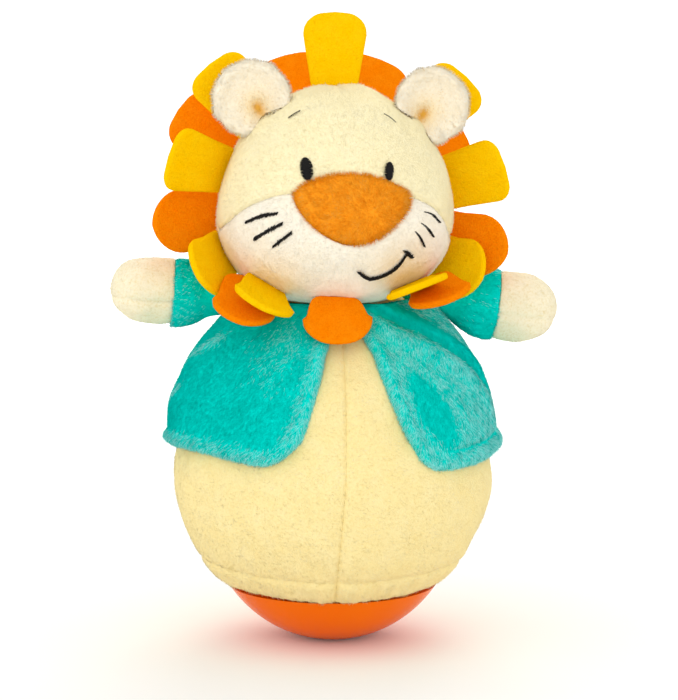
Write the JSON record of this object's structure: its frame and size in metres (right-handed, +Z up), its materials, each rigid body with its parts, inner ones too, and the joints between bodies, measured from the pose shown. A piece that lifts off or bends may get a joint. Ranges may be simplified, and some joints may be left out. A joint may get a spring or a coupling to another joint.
{
  "type": "roly poly toy",
  "caption": "Stuffed lion sewn round a weighted plastic ball that rights itself, with felt mane petals, an open jacket, stub arms that flex and a chime hanging inside.",
  "frame": {"origin": "middle of the flat foot under the ball, on the floor", "axes": "+Z up, -Y the toy's front, +X its left arm as it faces -Y (the viewer's right)"},
  "size_m": [0.1805, 0.1324, 0.2508],
  "materials": {
    "bowl_plastic": "gloss",
    "inner_plastic": "matt",
    "iron": "as cast",
    "steel": "bright",
    "elastic": "matt",
    "body_plush": "short pile",
    "wadding": "fibre",
    "jacket_plush": "short pile",
    "hand_plush": "short pile",
    "muzzle_plush": "short pile",
    "nose_plush": "short pile",
    "ear_plush": "short pile",
    "black_thread": "satin stitch",
    "yellow_felt": "felt",
    "orange_felt": "felt"
  },
  "bodies": {
    "toy": {"rocker_bowl": "bowl_plastic", "ball_cover": "inner_plastic", "counterweight": "iron", "chime_plate": "inner_plastic", "weight_screws": "steel", "chime_rods": "steel", "clapper_hook": "steel", "hem_elastic": "elastic", "body_panel_left": "body_plush", "body_panel_right": "body_plush", "body_wadding": "wadding", "jacket_left_front": "jacket_plush", "jacket_right_front": "jacket_plush", "jacket_back": "jacket_plush", "face_panel": "body_plush", "muzzle_panel": "muzzle_plush", "head_back_panel": "body_plush", "head_wadding": "wadding", "nose": "nose_plush", "eye_left": "black_thread", "eye_right": "black_thread", "eyebrows": "black_thread", "whiskers": "black_thread", "mouth": "black_thread", "ear_left": "ear_plush", "ear_right": "ear_plush", "mane_yellow_1": "yellow_felt", "mane_yellow_2": "yellow_felt", "mane_yellow_3": "yellow_felt", "mane_yellow_4": "yellow_felt", "mane_yellow_5": "yellow_felt", "mane_yellow_6": "yellow_felt", "mane_yellow_7": "yellow_felt", "mane_yellow_8": "yellow_felt", "mane_yellow_9": "yellow_felt", "mane_orange_1": "orange_felt", "mane_orange_2": "orange_felt", "mane_orange_3": "orange_felt", "mane_orange_4": "orange_felt", "mane_orange_5": "orange_felt", "mane_orange_6": "orange_felt", "mane_orange_7": "orange_felt", "mane_orange_8": "orange_felt", "mane_orange_9": "orange_felt"},
    "link": {"clapper_link": "steel"},
    "clapper": {"clapper": "steel"},
    "arm_left": {"sleeve_left": "jacket_plush", "hand_left": "hand_plush"},
    "arm_right": {"sleeve_right": "jacket_plush", "hand_right": "hand_plush"}
  },
  "joints": [
    {"name": "arm_left_raise", "type": "hinge", "parent": "toy", "child": "arm_left", "pos_m": [-0.04096, 0.009, 0.138], "axis": [0, 1, 0], "range_deg": [-12, 24], "stiffness_Nm_per_rad": 0.08},
    {"name": "arm_right_raise", "type": "hinge", "parent": "toy", "child": "arm_right", "pos_m": [0.04096, 0.009, 0.138], "axis": [0, -1, 0], "range_deg": [-1, 34], "stiffness_Nm_per_rad": 0.08},
    {"name": "link_swing", "type": "hinge", "parent": "toy", "child": "link", "pos_m": [0, 0, 0.08058], "axis": [1, 0, 0], "range_deg": [-13, 13]},
    {"name": "clapper_swing", "type": "hinge", "parent": "link", "child": "clapper", "pos_m": [0, 0, 0.07608], "axis": [0, 1, 0], "range_deg": [-13, 13]}
  ]
}
